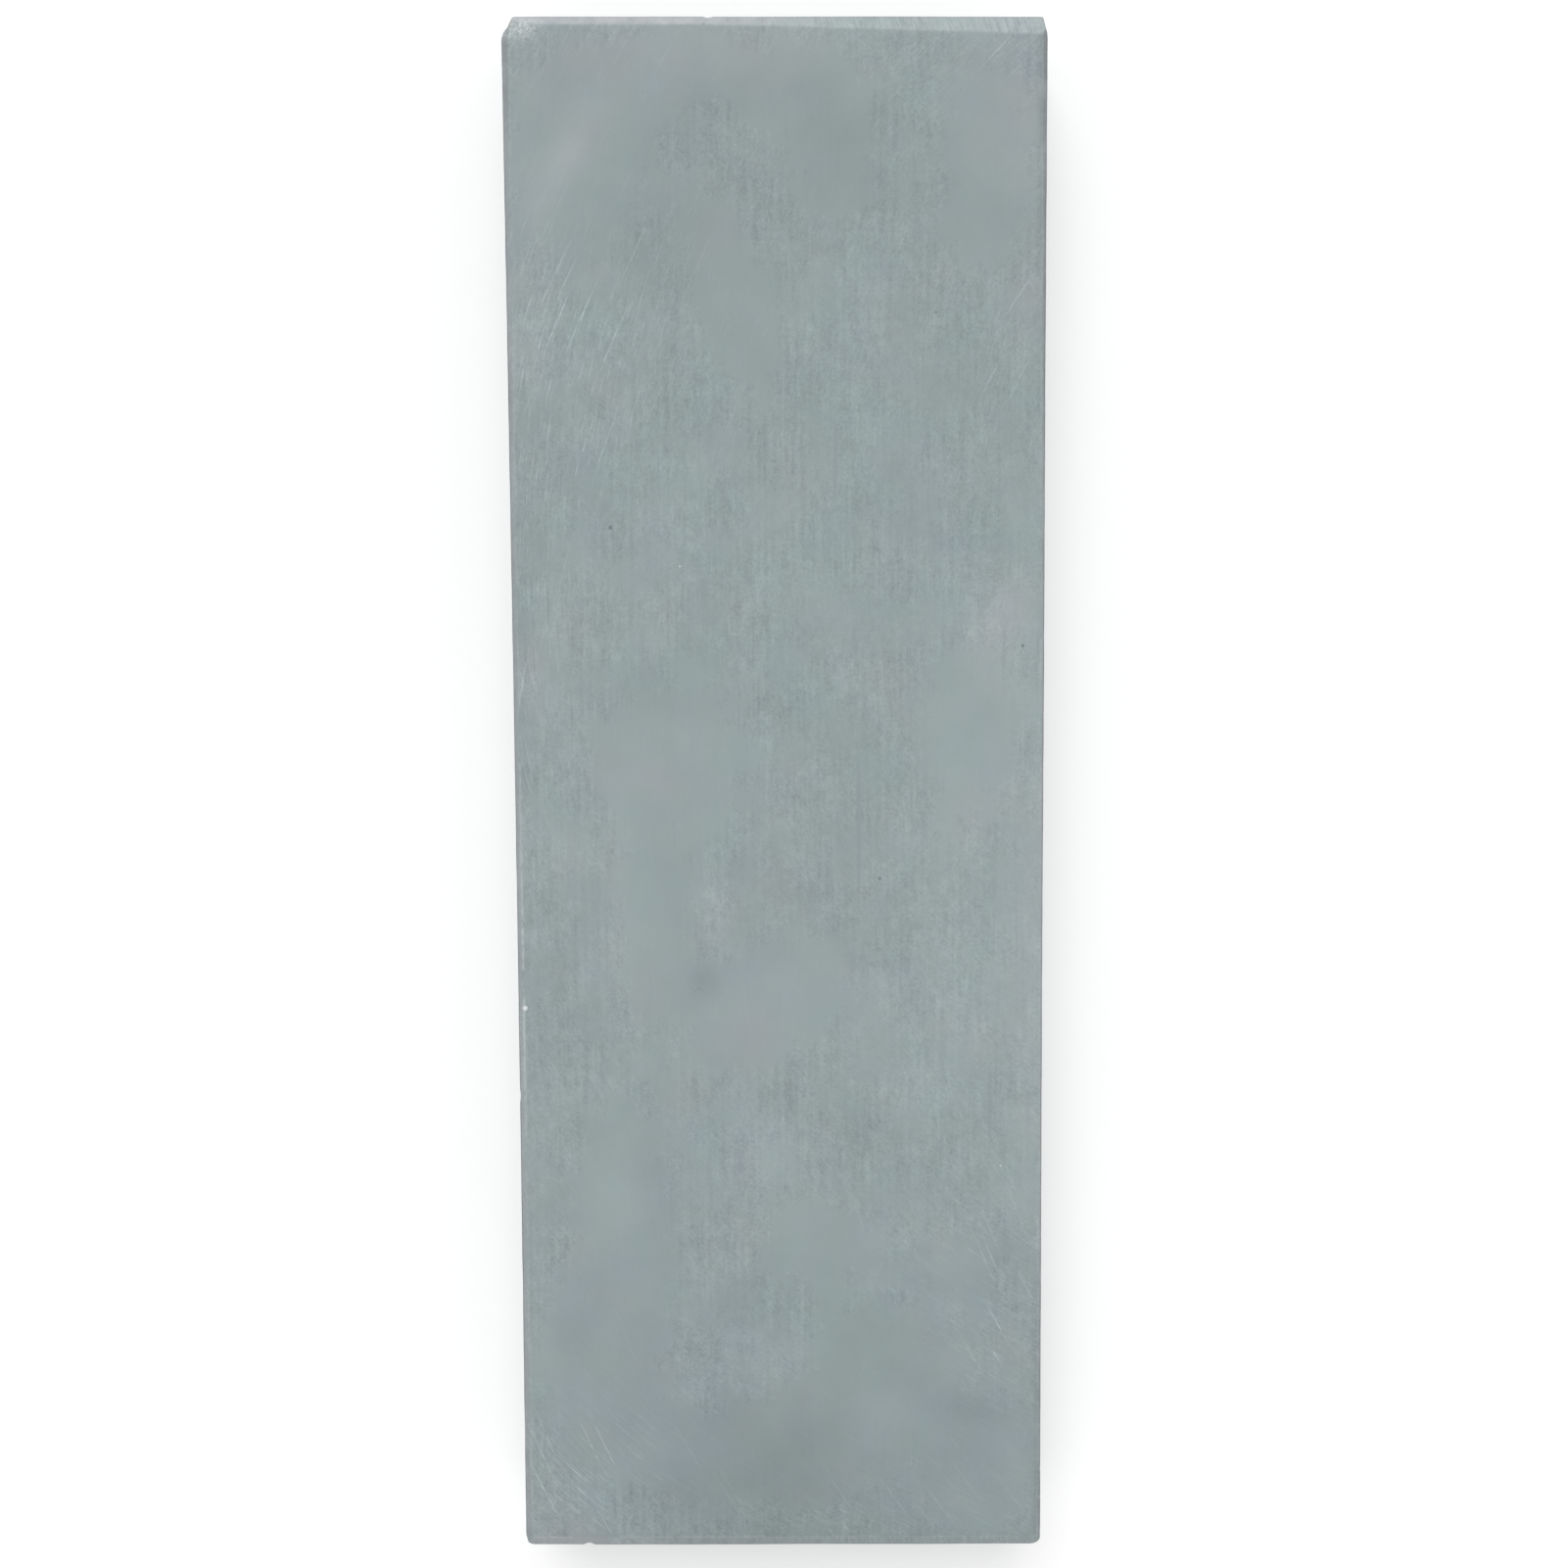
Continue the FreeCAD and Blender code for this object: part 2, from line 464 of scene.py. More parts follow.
def stone_skin():
    """Points and quads of the whole stone, before the points settle on its field."""
    skin = Skin()
    last = cap(skin, arris_ring(1, CAP_MARGIN, 0, 0, split=1), CELLS_X, CELLS_Y, upward=True)
    upper = [skin.add(points) for points in top_rings()]
    skin.widen(last, upper[0])
    for inner, outer in zip(upper, upper[1:]):
        skin.band(inner, outer)
    lower_places = bottom_rings()
    start = skin.ring_points(upper[-1])[::SPLIT]
    end = lower_places[0][::SPLIT]
    shares = np.arange(1, WALL_RINGS + 1) / (WALL_RINGS + 1)
    wall = [skin.add(start + (end - start) * share) for share in shares]
    skin.narrow(upper[-1], wall[0])
    for inner, outer in zip(wall, wall[1:]):
        skin.band(inner, outer)
    lower = [skin.add(points) for points in lower_places]
    skin.widen(wall[-1], lower[0])
    for inner, outer in zip(lower, lower[1:]):
        skin.band(inner, outer)
    inset = UNDER + UNDER_OFFSETS[-1]
    collar = skin.add(level_ring(inset + COLLAR_MARGIN, 0, CELLS_X, CELLS_Y))
    skin.narrow(lower[-1], collar)
    coarse = (CELLS_X // SPLIT, CELLS_Y // SPLIT)
    border = cap(skin, level_ring(inset + GRID_MARGIN, 0, *coarse), *coarse, upward=False)
    skin.narrow(collar, border)
    return np.concatenate(skin.points), np.concatenate(skin.quads)


# ---------------------------------------------------------------- marks on the stone

# Soft patches of the honing face: middle x, y, half sizes, turn in degrees, and a weight
Patch = namedtuple("Patch", "x y half_x half_y turn weight")
# Lighter and darker tone of the face; the broad patches at the near end are painted shade
PALE_AND_SHADE = (
    Patch(-27.0, 82, 2.2, 7.0, -25, 1.6),
    Patch(-13.5, 84, 5.0, 6.0, -20, -1.1),
    Patch(-16.5, 73, 6.0, 7.0, -40, -0.9),
    Patch(-9.0, 89, 5.0, 3.0, 0, -0.7),
    Patch(-3.0, 79, 6.0, 5.0, -20, -1.2),
    Patch(1.0, 89, 7.0, 3.0, 0, -0.5),
    Patch(10.0, 84, 8.0, 5.0, 10, -0.6),
    Patch(13.0, 76, 6.0, 6.0, 0, -0.7),
    Patch(27.0, 74, 6.0, 6.0, 0, -0.6),
    Patch(0.0, 99, 30.0, 3.0, 0, 0.6),
    Patch(-31.0, 61, 3.5, 12.0, -8, 0.4),
    Patch(-15.0, 54, 5.0, 9.0, 0, -0.4),
    Patch(22.0, 56, 5.0, 6.0, 0, -0.6),
    Patch(20.0, 35, 8.0, 6.0, 0, -0.6),
    Patch(10.0, 61, 7.0, 9.0, 0, 0.5),
    Patch(-18.0, 29, 6.0, 8.0, 0, 0.4),
    Patch(-7.0, 31, 4.0, 6.0, 0, -0.6),
    Patch(28.0, 22, 5.0, 6.0, 0, 0.8),
    Patch(0.0, 72, 45.0, 36.0, 0, -0.25),
    Patch(-14.0, 8, 9.0, 11.0, 0, 0.6),
    Patch(-15.0, 14, 3.0, 4.0, 0, -0.6),
    Patch(25.5, 10, 6.5, 17.0, 0, 1.3),
    Patch(25.0, -25, 8.0, 14.0, 0, 0.9),
    Patch(6.0, 0, 8.0, 18.0, 0, -0.2),
    Patch(-30.0, 4, 6.0, 14.0, 0, 0.6),
    Patch(31.0, 33, 4.0, 10.0, 0, 0.7),
    Patch(-20.0, -16, 3.0, 17.0, 0, 0.8),
    Patch(-9.8, -23, 2.4, 2.8, 0, -1.3),
    Patch(-8.5, -15, 2.4, 5.0, 0, 0.9),
    Patch(-3.0, -27, 7.0, 5.0, 0, 0.5),
    Patch(-28.0, -31, 5.0, 7.0, 0, -0.7),
    Patch(-2.0, -45, 6.0, 6.0, 0, 0.7),
    Patch(-21.0, -53, 3.6, 9.0, 0, 0.7),
    Patch(-16.0, -48, 2.5, 6.0, 0, -0.5),
    Patch(10.0, -43, 9.0, 4.0, -10, -0.6),
    Patch(13.0, -57, 8.0, 7.0, 0, -0.4),
    Patch(-3.0, -67, 12.0, 4.0, 0, -0.5),
    Patch(31.0, -49, 3.0, 6.0, 0, 0.6),
    Patch(30.0, -61, 2.5, 6.0, 0, -0.7),
    Patch(13.5, -68, 8.0, 4.5, -20, -0.4),
    Patch(-4.0, -75, 9.0, 4.0, 0, 0.6),
    Patch(-26.0, -70, 4.0, 4.0, 0, -0.7),
    Patch(-32.0, -73, 3.0, 9.0, 0, 0.8),
    Patch(21.0, -79, 13.0, 3.0, -27, -0.8),
    Patch(14.0, -81, 5.0, 3.0, 0, 0.7),
    Patch(26.0, -89, 8.0, 5.0, 0, -0.5),
    Patch(27.0, -81, 7.0, 2.2, 0, -0.9),
    # The broad patches of the near end below are painted shade, darkening it as if the light fell from
    # beyond the far end
    Patch(1.0, -88, 16.0, 12.0, 0, -1.5),
    Patch(-14.0, -93, 9.0, 5.0, 0, -0.9),
    Patch(5.0, -100, 28.0, 3.5, 0, -1.2),
    Patch(2.0, -98, 42.0, 34.0, 0, -0.7),
    Patch(34.0, -10, 4.0, 50.0, 0, 1.0),
    Patch(-33.0, 22, 2.2, 26.0, 0, -0.6),
)
LILAC = (
    Patch(-25.5, 83, 2.5, 6.0, -35, 1.2),
    Patch(-31.0, 78, 2.5, 4.0, 0, 0.9),
    Patch(32.0, 66, 2.5, 4.0, 0, 0.9),
    Patch(0.0, 55, 45.0, 40.0, 0, -0.2),
    Patch(-17.0, 95, 13.0, 5.0, 0, 1.1),
    Patch(-7.0, 74, 2.5, 3.0, -40, 0.8),
    Patch(31.0, 90, 4.0, 11.0, 0, 1.4),
    Patch(-31.0, 62, 3.5, 9.0, -8, 0.8),
    Patch(-32.0, 18, 2.0, 4.0, 0, 1.5),
    Patch(27.0, 0, 3.0, 8.0, -20, 0.7),
    Patch(29.5, 24, 3.0, 6.0, -25, 1.2),
    Patch(-31.0, 13, 2.5, 4.0, 0, 0.8),
    Patch(-18.0, 4, 6.0, 2.0, 10, 0.8),
    Patch(-14.0, 3, 7.0, 2.0, 0, 0.7),
    Patch(-10.0, 18, 7.0, 5.0, 0, -0.5),
    Patch(-21.5, -12, 2.0, 8.0, 0, 0.9),
    Patch(-8.5, -15, 2.4, 5.0, 0, 0.5),
    Patch(-4.0, -30, 4.0, 5.0, 0, 0.9),
    Patch(26.0, -31, 2.0, 4.0, 0, 0.8),
    Patch(-5.0, -47, 2.0, 4.0, 0, 1.0),
    Patch(32.0, -20, 3.0, 20.0, 0, 0.7),
    Patch(10.0, 86, 9.0, 6.0, 10, -0.6),
    Patch(9.0, -70, 8.0, 5.0, -20, -1.2),
    Patch(-1.0, -88, 14.0, 9.0, 0, -0.4),
    Patch(5.0, -100, 28.0, 3.5, 0, -1.2),
    Patch(-28.0, -98, 6.0, 3.0, 0, 1.5),
    Patch(-22.0, -82, 10.0, 12.0, 0, 0.3),
    Patch(0.0, 98, 45.0, 9.0, 0, 0.2),
)
BLUE = (
    Patch(0.0, -85, 45.0, 38.0, 0, 1.2),
    Patch(2.0, -90, 11.0, 13.0, 0, -1.9),
    Patch(-1.0, -56, 5.0, 9.0, 0, -1.0),
    Patch(-24.0, -48, 4.0, 10.0, 0, -0.8),
    Patch(-26.0, 94, 10.0, 6.0, 0, 1.2),
    Patch(30.0, 94, 7.0, 6.0, 0, 1.0),
    Patch(-17.0, 73, 5.0, 12.0, 0, 0.8),
    Patch(-31.0, 69, 5.0, 8.0, 0, 0.9),
    Patch(14.0, 52, 5.0, 16.0, 0, 0.6),
    Patch(-14.0, -16, 10.0, 10.0, 0, 0.9),
    Patch(30.0, -15, 5.0, 26.0, 0, 0.8),
)
POLISHED = (
    Patch(-25, 83, 11, 14, 0, 1.0),
    Patch(-12, 94, 8, 4, 0, 0.9),
    Patch(-5.5, 65, 5, 13, 19, 1.1),
    Patch(4, 90, 9, 7, 0, 1.0),
    Patch(8, 79, 5, 6, 0, 0.8),
    Patch(27, 82, 6.5, 15, 0, 1.0),
    Patch(-14, 5, 11, 14, 0, 1.0),
    Patch(25, 9, 6.5, 13, 0, 1.0),
    Patch(-16, -18, 5, 9, 0, 0.9),
    Patch(-1, -26, 14, 8, 35, 1.0),
    Patch(-21, -55, 7, 18, 0, 1.0),
    Patch(-25, -74, 8, 10, 0, 1.0),
    Patch(5, -58, 9, 7, 0, 0.9),
    Patch(25, -61, 6, 5, 0, 0.7),
    Patch(-3, -87, 20, 8, 0, 1.0),
    Patch(15, -74, 12, 8, 0, 1.0),
    Patch(26, -90, 6.5, 9, 0, 1.0),
)
SCUFFED = (
    Patch(-30, 62, 6, 12, -12, 0.8),
    Patch(-20, 58, 8, 16, -20, 1.2),
    Patch(-32, 30, 4, 36, 0, 1.1),
    Patch(-26, -90, 13, 10, 35, 0.9),
    Patch(-26, -94, 3, 9, 48, 0.9),
    Patch(22, 96, 12, 3.5, 0, 1.0),
    Patch(28, 56, 6, 14, -15, 0.8),
    Patch(27, -64, 8, 22, 15, 0.8),
    Patch(12, -95, 20, 4, 0, 0.6),
    Patch(-24, 96, 10, 4, 0, 0.6),
)


# Widths over which a mask fades: between two surfaces, and beside the inner and outer arrises
MASK_FADE = 0.05
INNER_ARRIS = 0.10
OUTER_ARRIS = 0.12

# Crumbled spot of the far arris, beside the break: middle and half sizes
CRUMBLED_PLACE = (-32.3, 98.5, THICKNESS)
CRUMBLED_SIZES = (2.3, 1.4, 2.0)


def patchwork(points, patches):
    """Sum of soft patches at each point."""
    total = np.zeros(len(points))
    for patch in patches:
        turn = math.radians(patch.turn)
        x, y = points[:, 0] - patch.x, points[:, 1] - patch.y
        across = (x * math.cos(turn) + y * math.sin(turn)) / patch.half_x
        along = (y * math.cos(turn) - x * math.sin(turn)) / patch.half_y
        total += patch.weight * np.exp(-(across ** 2 + along ** 2))
    return total


def where_two_meet(a, b, width):
    """1 along the edge where two bounding surfaces meet, 0 away from it."""
    return np.exp(-((a - b) / width) ** 2) * smooth_step(-0.2, -0.03, np.maximum(a, b))


def marks(points):
    """What each point of the finished stone is, as named masks for the material."""
    parts = surfaces(points)
    near, right, far, left = parts["bevels"]
    x, y, z = points.T
    bevel = np.maximum.reduce(parts["bevels"])
    low = np.maximum.reduce((parts["wall"], parts["under_bevel"], parts["underside"]))
    upper = np.maximum(parts["face"], bevel)

    def on(field):
        """1 on one of the bevels or on the face, 0 elsewhere."""
        others = [side for side in (parts["face"], low, *parts["bevels"]) if side is not field]
        return smooth_step(-MASK_FADE, MASK_FADE, field - np.maximum.reduce(others))

    def inner(field):
        """1 along the arris between the honing face and a bevel."""
        return where_two_meet(parts["face"], field, INNER_ARRIS)

    def outer(field):
        """1 along the arris between a bevel and the side below it."""
        return where_two_meet(field, low, OUTER_ARRIS)

    crushed = 0.35 + 0.65 * np.exp((z - THICKNESS) / 1.2)
    crumbled = np.exp(-(((points - CRUMBLED_PLACE) / CRUMBLED_SIZES) ** 2).sum(axis=1))
    raw = smooth_step(-0.06, 0.02, np.maximum(parts["break"], parts["chips"]))
    broken_left = 0.25 + 0.75 * np.exp(-((y + 22) / 18) ** 2)
    worn = (0.2 * inner(near), 0.25 * inner(right), 0.25 * inner(far), broken_left * inner(left))
    # The side bevels are darkened, more towards the ends
    left_bevel_darker = 0.12 + 0.30 * smooth_step(80, 95, y) + 0.12 * smooth_step(-60, -90, y)
    right_bevel_darker = 0.10 + 0.40 * smooth_step(10, 95, y) + 0.30 * smooth_step(-50, -85, y)
    # The face is darkened along its right edge, towards both ends
    right_edge_darker = smooth_step(45, 80, y) + 0.8 * smooth_step(-55, -80, y)
    right_edge_darker = right_edge_darker * smooth_step(HALF_X - 1.7, HALF_X - 0.5, x) * on(parts["face"])
    # Painted shade along the outer arrises, where their rounding turns away from the light, joined with
    # the two darkenings above into one mask
    shade_and_darkening = (0.3 * outer(near), 1.2 * outer(right), 0.5 * outer(far), outer(left))
    shade_and_darkening += (left_bevel_darker * on(left), right_bevel_darker * on(right), 0.3 * right_edge_darker)
    far_dust = 0.29 - 0.12 * smooth_step(-8, 8, x)
    return {
        "bevel": smooth_step(-MASK_FADE, MASK_FADE, bevel - np.maximum(parts["face"], low)),
        "dust": far_dust * on(far) + 0.13 * on(near) + 0.05 * on(left) + 0.05 * on(right),
        "sawn": smooth_step(-MASK_FADE, MASK_FADE, low - upper),
        "worn": np.maximum.reduce((*worn, 0.4 * crumbled)),
        "shade_and_darkening": np.maximum.reduce(shade_and_darkening),
        "broken": np.maximum(crushed * raw, 1.3 * crumbled),
        "pale": patchwork(points, PALE_AND_SHADE),
        "lilac": patchwork(points, LILAC) + 0.9 * (on(left) + on(right)),
        "blue": patchwork(points, BLUE),
        "polished": np.clip(patchwork(points, POLISHED), 0, 1),
        "scuffed": patchwork(points, SCUFFED),
    }


def whetstone():
    """The stone as a Blender object, with its marks as attributes of the mesh."""
    points, quads = stone_skin()
    points = loosen(settle(points), quads)
    masks = marks(points)
    points[:, 1] += OUT_OF_SQUARE * points[:, 0]
    mesh = bpy.data.meshes.new("whetstone")
    mesh.from_pydata((points * MM).tolist(), [], quads.tolist())
    mesh.shade_smooth()
    for name, values in masks.items():
        attribute = mesh.attributes.new(name, "FLOAT", "POINT")
        attribute.data.foreach_set("value", values.astype(np.float32))
    stone = bpy.data.objects.new("whetstone", mesh)
    bpy.context.scene.collection.objects.link(stone)
    return stone


# ---------------------------------------------------------------- material of the stone

class Graph:
    """Short calls for the nodes of one material. A value is a socket or a number."""

    def __init__(self, name):
        self.material = bpy.data.materials.new(name)
        self.material.use_nodes = True
        self.tree = self.material.node_tree
        self.shader = next(n for n in self.tree.nodes if n.type == "BSDF_PRINCIPLED")

    def put(self, socket, value):
        """Links or sets one input."""
        if isinstance(value, bpy.types.NodeSocket):
            self.tree.links.new(value, socket)
        else:
            socket.default_value = value

    def node(self, kind, inputs, output=0, **settings):
        """Adds a node and returns one of its outputs."""
        node = self.tree.nodes.new(kind)
        for name, value in settings.items():
            setattr(node, name, value)
        for name, value in inputs.items():
            self.put(node.inputs[name], value)
        return node.outputs[output]

    def math(self, operation, a, b=0.0, clamp=False):
        return self.node("ShaderNodeMath", {0: a, 1: b}, operation=operation, use_clamp=clamp)

    def add(self, a, b):
        return self.math("ADD", a, b)

    def times(self, a, b):
        return self.math("MULTIPLY", a, b)

    def ramp(self, value, low, high, low_to=0.0, high_to=1.0):
        """Maps a range of value smoothly onto another range."""
        inputs = {"Value": value, "From Min": low, "From Max": high, "To Min": low_to, "To Max": high_to}
        return self.node("ShaderNodeMapRange", inputs, interpolation_type="SMOOTHSTEP")

    def mark(self, name):
        """One of the mesh's masks."""
        return self.node("ShaderNodeAttribute", {}, output="Fac", attribute_name=name)

    def place(self):
        """Place on the stone in millimetres."""
        where = self.node("ShaderNodeTexCoord", {}, output="Object")
        return self.node("ShaderNodeVectorMath", {0: where, "Scale": 1 / MM}, operation="SCALE")

    def split(self, vector):
        """The three parts of a vector."""
        node = self.tree.nodes.new("ShaderNodeSeparateXYZ")
        self.tree.links.new(vector, node.inputs[0])
        return tuple(node.outputs)

    def join(self, x, y, z=0.0):
        return self.node("ShaderNodeCombineXYZ", {0: x, 1: y, 2: z})

    def noise(self, place, size, detail=2.0, rough=0.5):
        """Cloudy noise with features of about size millimetres, centred on 0."""
        inputs = {"Vector": place, "Scale": 1 / size, "Detail": detail, "Roughness": rough}
        return self.add(self.node("ShaderNodeTexNoise", inputs), -0.5)

    def stretched(self, place, sizes):
        """Place divided by a size along each axis."""
        scale = tuple(1 / size for size in sizes)
        return self.node("ShaderNodeVectorMath", {0: place, 1: scale}, operation="MULTIPLY")

    def blend(self, share, a, b):
        """Mixes two colours."""
        return self.node("ShaderNodeMix", {0: share, 6: a, 7: b}, output=2, data_type="RGBA")

    def scaled(self, colour, value):
        """A colour times a number."""
        return self.node("ShaderNodeVectorMath", {0: colour, "Scale": value}, operation="SCALE")


STONE_GREEN = (0.256, 0.311, 0.311, 1)
STONE_LILAC = (0.288, 0.314, 0.325, 1)
STONE_BLUE = (0.252, 0.305, 0.330, 1)
DUST_PALE = (0.605, 0.567, 0.592, 1)
DUST_GREEN = (0.535, 0.575, 0.575, 1)
DARK_SPECK = (0.110, 0.130, 0.135, 1)
WHITE_SPECK = (0.800, 0.830, 0.810, 1)
# very dark grey for painted shade along the outer arrises, also used to darken the side bevels and the
# face's right edge
SHADE_AND_DARKENING_GREY = (0.078, 0.080, 0.084, 1)
DARK_STREAK = (0.236, 0.281, 0.290, 1)
SPECKS = (                             # place on the honing face, half sizes, colour
    (-21.45, 35.95, 0.34, 0.34, DARK_SPECK),
    (13.1, -9.7, 0.30, 0.26, DARK_SPECK),
    (20.4, 63.0, 0.18, 0.18, DARK_SPECK),
    (-8.9, 99.0, 0.24, 0.24, DARK_SPECK),
    (31.6, 20.5, 0.26, 0.26, DARK_SPECK),
    (-12.55, 30.95, 0.18, 0.18, DUST_GREEN),
    (29.0, -48.0, 0.20, 0.20, DUST_GREEN),
    (-33.4, -26.6, 0.42, 0.42, WHITE_SPECK),
    (10.4, -3.0, 0.45, 12.5, DARK_STREAK),
    (7.5, 44.0, 0.40, 6.5, DARK_STREAK),
    (27.5, -40.0, 0.40, 6.0, DARK_STREAK),
)
SAWN_SHADE = 0.83                      # the sawn sides are darker than the honed face: partly their own tone, partly painted shade that offsets the light the glowing floor throws on them
ROUGHNESS = 0.55                       # of honed stone without texture or scratches
SHEEN = 0.35                           # strength of the mirror-like part of its reflection
BUMP_HEIGHT = 0.03                     # millimetres for one unit of texture
LONG_STROKES = (140.0, -10.0)          # the honing strokes swing about points off to the right
STEEP_STROKES = (90.0, 30.0)


def arc_place(g, place, centre, wander):
    """Distance from a centre, and length along the arc about it, a little unsteady."""
    x, y, _ = g.split(place)
    dx = g.math("SUBTRACT", x, centre[0])
    dy = g.math("SUBTRACT", y, centre[1])
    radius = g.math("SQRT", g.add(g.times(dx, dx), g.times(dy, dy)))
    angle = g.math("ARCTAN2", dy, g.times(dx, -1.0))
    sway = g.times(g.noise(place, 40.0, detail=0.0), wander)
    return g.add(radius, sway), g.times(angle, centre[0])


def hairlines(g, radius, along, width, length, thickness):
    """Fine tapered scratches that lie along arcs, from 0 to 1."""
    cell = g.join(g.times(radius, 1 / width), g.times(along, 1 / length))
    inputs = {"Vector": cell, "Scale": 1.0}
    distance = g.node("ShaderNodeTexVoronoi", inputs, voronoi_dimensions="2D")
    return g.ramp(distance, thickness, 0.3 * thickness)


def brushing(g, radius, along, width, length, least, most):
    """Bundles of faint parallel scratches along arcs, from 0 to 1."""
    cell = g.join(g.times(radius, 1 / width), g.times(along, 1 / length))
    return g.ramp(g.noise(cell, 1.0, detail=1.0), least, most)


def weighted(g, layers):
    """Sum of layers, each with its weight."""
    total = 0.0
    for weight, layer in layers:
        total = g.add(total, g.times(layer, weight))
    return total


def honing_scratches(g, place):
    """Scratches left by honing and lapping, thick where the stone is scuffed."""
    radius, along = arc_place(g, place, LONG_STROKES, 3.0)
    steep, steep_along = arc_place(g, place, STEEP_STROKES, 5.0)
    total = weighted(g, (
        (1.2, hairlines(g, radius, along, 1.1, 45.0, 0.12)),
        (0.8, hairlines(g, steep, steep_along, 0.6, 16.0, 0.15)),
        (0.8, hairlines(g, steep, steep_along, 0.35, 6.0, 0.20)),
        (0.9, brushing(g, steep, steep_along, 0.16, 5.0, 0.08, 0.32)),
    ))
    scuff = g.add(g.mark("scuffed"), 0.10)
    broken_up = g.ramp(g.noise(place, 1.4, detail=2.0), -0.15, 0.1, 0.2, 1.0)
    return g.times(g.times(total, scuff), broken_up)


def fine_texture(g, place):
    """Grain, short strokes and lengthwise streaks, and the share of them that the polish leaves."""
    steep, steep_along = arc_place(g, place, STEEP_STROKES, 5.0)
    short_strokes = g.join(g.times(steep, 1 / 0.25), g.times(steep_along, 1 / 1.4))
    total = weighted(g, (
        (0.29, g.noise(g.stretched(place, (0.6, 14.0, 2.0)), 1.0, detail=3.0)),
        (0.24, g.noise(short_strokes, 1.0, detail=2.0)),
        (0.49, g.noise(place, 0.38, detail=2.0, rough=0.8)),
        (0.28, g.noise(g.stretched(place, (1.0, 1.8, 2.0)), 1.0, detail=3.0)),
        (0.24, g.noise(g.stretched(place, (3.0, 5.0, 4.0)), 1.0, detail=3.0)),
    ))
    edge = g.add(g.mark("polished"), g.times(g.noise(place, 4.0, detail=3.0), 1.2))
    rubbed = g.ramp(edge, 0.30, 0.60, 1.0, 0.12)
    rubbed = g.times(rubbed, g.ramp(g.noise(place, 7.0, detail=2.0), -0.16, 0.06, 0.4, 1.0))
    return g.times(total, rubbed), rubbed


def saw_marks(g, place):
    """Curved marks of a stone saw on the sides, over faint layers of the rock."""
    x, y, z = g.split(place)
    along = g.add(x, y)
    curve = g.add(g.times(z, 0.12), g.times(g.times(z, z), 0.004))
    fed = g.add(along, curve)
    return weighted(g, (
        (0.30, g.noise(g.join(g.times(fed, 1 / 0.45), g.times(z, 1 / 30.0)), 1.0, detail=2.0)),
        (0.26, g.noise(g.join(g.times(fed, 1 / 3.5), g.times(z, 1 / 30.0)), 1.0, detail=3.0)),
        (0.18, g.noise(g.join(g.times(along, 1 / 25.0), g.times(z, 1 / 1.2)), 1.0, detail=3.0)),
        (0.30, g.noise(place, 0.5, detail=2.0, rough=0.8)),
        (0.30, g.noise(place, 9.0, detail=4.0)),
    ))


def bare_stone(g, place, tone):
    """Colour of the rock itself, clouded green, lilac and blue."""
    aside = g.node("ShaderNodeVectorMath", {0: place, 1: (40, 7, 90)}, operation="ADD")
    tint = g.noise(aside, 9.0, detail=4.0)
    lilac = g.add(g.times(tint, 1.2), g.times(g.mark("lilac"), 0.5))
    colour = g.blend(g.math("ADD", lilac, 0.20, clamp=True), STONE_GREEN, STONE_LILAC)
    green = g.math("MINIMUM", g.mark("lilac"), 0.0)
    blue = weighted(g, (
        (1.4, g.noise(aside, 4.0, detail=3.0)),
        (1.0, g.noise(aside, 14.0)),
        (-1.2, tone),
        (0.2, g.mark("blue")),
        (0.4, green),
    ))
    colour = g.blend(g.math("ADD", blue, 0.05, clamp=True), colour, STONE_BLUE)
    return g.scaled(colour, g.add(tone, 1.0))


def specks(g, place, colour):
    """Single specks and streaks of mineral in the honing face."""
    ragged = g.noise(place, 0.25)
    for x, y, half_x, half_y, speck in SPECKS:
        offset = g.node("ShaderNodeVectorMath", {0: place, 1: (x, y, THICKNESS)}, operation="SUBTRACT")
        offset = g.stretched(offset, (half_x, half_y, half_x))
        away = g.node("ShaderNodeVectorMath", {0: offset}, output="Value", operation="LENGTH")
        colour = g.blend(g.ramp(g.add(away, ragged), 1.0, 0.5, 0.0, 0.7), colour, speck)
    return colour


def ground_dust(g, place, colour, ground):
    """Pale dust of the rough-ground bevels, mottled, and combed by the grinder towards the right."""
    x, _, _ = g.split(place)
    combed = g.ramp(x, -10.0, 10.0)
    mottle = g.noise(place, 1.5, detail=3.0)
    uneven = weighted(g, ((5.0, g.times(ground, combed)), (2.0, mottle)))
    dust = g.blend(combed, DUST_PALE, DUST_GREEN)
    return g.blend(g.times(g.mark("dust"), g.add(uneven, 1.0)), colour, dust)


def worn_and_shaded_edges(g, place, colour):
    """Crushed arrises and raw breaks, then painted shade along the outer arrises and a darkening of the
    side bevels and of the face's right edge.
    """
    patchy = g.add(g.noise(place, 0.9, detail=3.0), g.times(g.noise(place, 7.0), 1.2))
    powder = g.times(g.ramp(patchy, -0.2, 0.14), g.mark("worn"))
    colour = g.blend(g.times(powder, 0.6), colour, DUST_GREEN)
    fracture = g.ramp(g.noise(place, 0.35, detail=2.0), -0.15, 0.2, 0.0, 0.75)
    colour = g.blend(g.times(g.mark("broken"), fracture), colour, DUST_GREEN)
    # painted shade along the outer arrises, and darker side bevels and right edge of the face
    dark_share = g.times(g.ramp(g.noise(place, 3.0, detail=3.0), -0.25, 0.1, 0.3, 0.8), g.mark("shade_and_darkening"))
    return g.blend(dark_share, colour, SHADE_AND_DARKENING_GREY)


